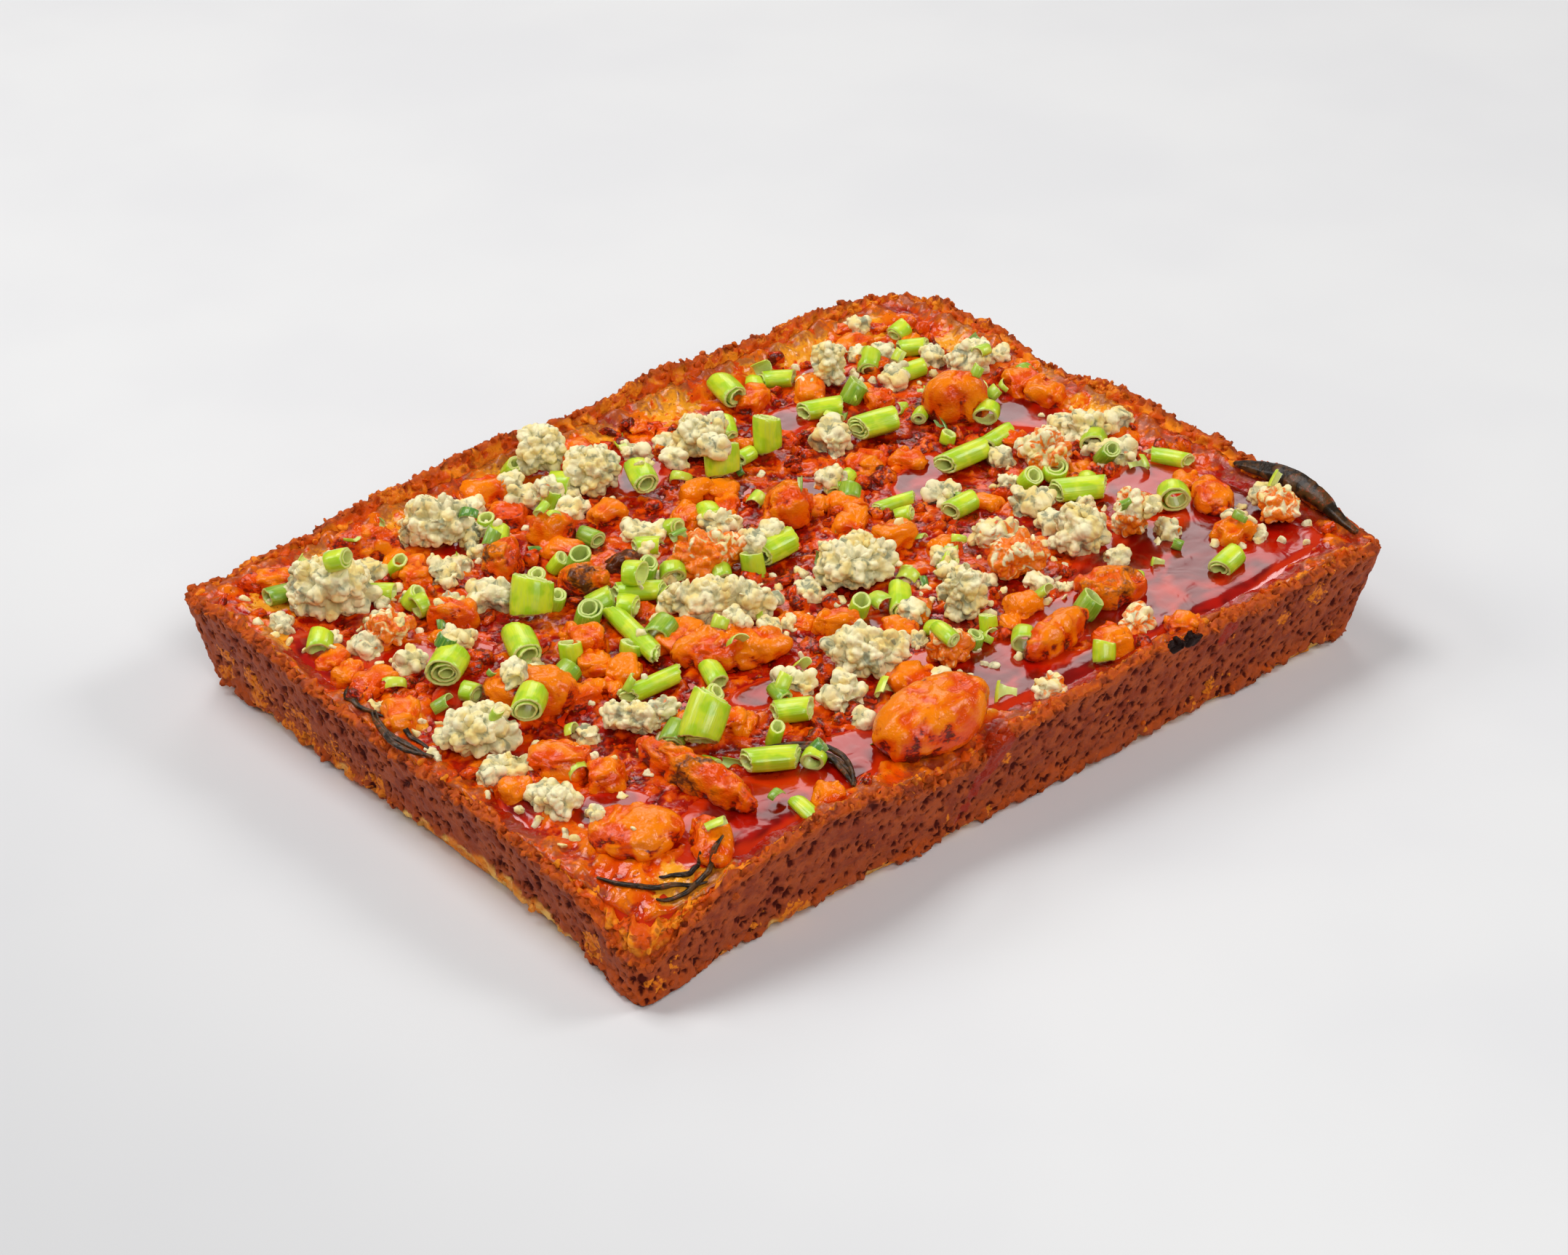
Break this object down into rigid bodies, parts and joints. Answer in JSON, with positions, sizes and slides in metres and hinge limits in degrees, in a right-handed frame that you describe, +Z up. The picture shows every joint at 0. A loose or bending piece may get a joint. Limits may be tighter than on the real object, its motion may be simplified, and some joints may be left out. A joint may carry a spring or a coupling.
{
  "type": "rectangular deep dish pizza",
  "caption": "Whole rectangular pan pizza with flared browned cheese walls, melted cheese and sauce, and chicken, blue cheese, scallions and charred onion on top.",
  "frame": {"origin": "middle of the flat underside", "axes": "+X along the long sides, +Y along the short sides away from the viewer, +Z up through the toppings"},
  "size_m": [0.2535, 0.1912, 0.0421],
  "materials": {
    "browned_crust": "baked cheese and bread crust, rough and pitted",
    "melted_cheese": "melted orange cheese with oily red sauce",
    "sauced_chicken": "cooked chicken in a glossy orange-red sauce",
    "blue_cheese": "crumbled cream cheese with grey-green veins",
    "scallion_green": "fresh cut yellow-green scallion",
    "charred_onion": "onion charred almost black"
  },
  "bodies": {
    "root": {"blue_cheese_back_edge": "blue_cheese", "blue_cheese_back_left": "blue_cheese", "blue_cheese_back_peak": "blue_cheese", "blue_cheese_back_small": "blue_cheese", "blue_cheese_back_tall": "blue_cheese", "blue_cheese_far_corner": "blue_cheese", "blue_cheese_front_chain": "blue_cheese", "blue_cheese_front_left": "blue_cheese", "blue_cheese_front_middle": "blue_cheese", "blue_cheese_front_sauced": "blue_cheese", "blue_cheese_left_corner": "blue_cheese", "blue_cheese_left_middle": "blue_cheese", "blue_cheese_left_sauced": "blue_cheese", "blue_cheese_long_row": "blue_cheese", "blue_cheese_middle": "blue_cheese", "blue_cheese_orange_oval": "blue_cheese", "blue_cheese_right_back": "blue_cheese", "blue_cheese_right_cream": "blue_cheese", "blue_cheese_right_large": "blue_cheese", "blue_cheese_right_narrow": "blue_cheese", "blue_cheese_right_sauced": "blue_cheese", "blue_cheese_smooth_disc": "blue_cheese", "blue_cheese_upright": "blue_cheese", "cheese_layer": "melted_cheese", "chicken_charred_end": "sauced_chicken", "chicken_charred_flat": "sauced_chicken", "chicken_charred_skin": "sauced_chicken", "chicken_curved_strip": "sauced_chicken", "chicken_dark_crumb": "sauced_chicken", "chicken_front_edge": "sauced_chicken", "chicken_front_slab": "sauced_chicken", "chicken_large_lump": "sauced_chicken", "chicken_left_edge": "sauced_chicken", "chicken_long_lump": "sauced_chicken", "chicken_middle_back": "sauced_chicken", "chicken_middle_slab": "sauced_chicken", "chicken_pale_lump": "sauced_chicken", "chicken_right_patch": "sauced_chicken", "chicken_square_chunk": "sauced_chicken", "crust": "browned_crust", "onion_black_strip": "charred_onion", "onion_left_rim": "charred_onion", "onion_right_rim": "charred_onion", "scallion_back_block": "scallion_green", "scallion_back_cup": "scallion_green", "scallion_back_edge": "scallion_green", "scallion_back_thick": "scallion_green", "scallion_back_wide": "scallion_green", "scallion_centre_left": "scallion_green", "scallion_front_cup": "scallion_green", "scallion_front_lying": "scallion_green", "scallion_left_block": "scallion_green", "scallion_left_lying": "scallion_green", "scallion_left_trio": "scallion_green", "scallion_left_wide": "scallion_green", "scallion_long_stalk": "scallion_green", "scallion_right_cluster": "scallion_green", "scallion_right_pair": "scallion_green", "scallion_right_ring": "scallion_green", "scallion_stalk_end": "scallion_green"}
  },
  "joints": []
}
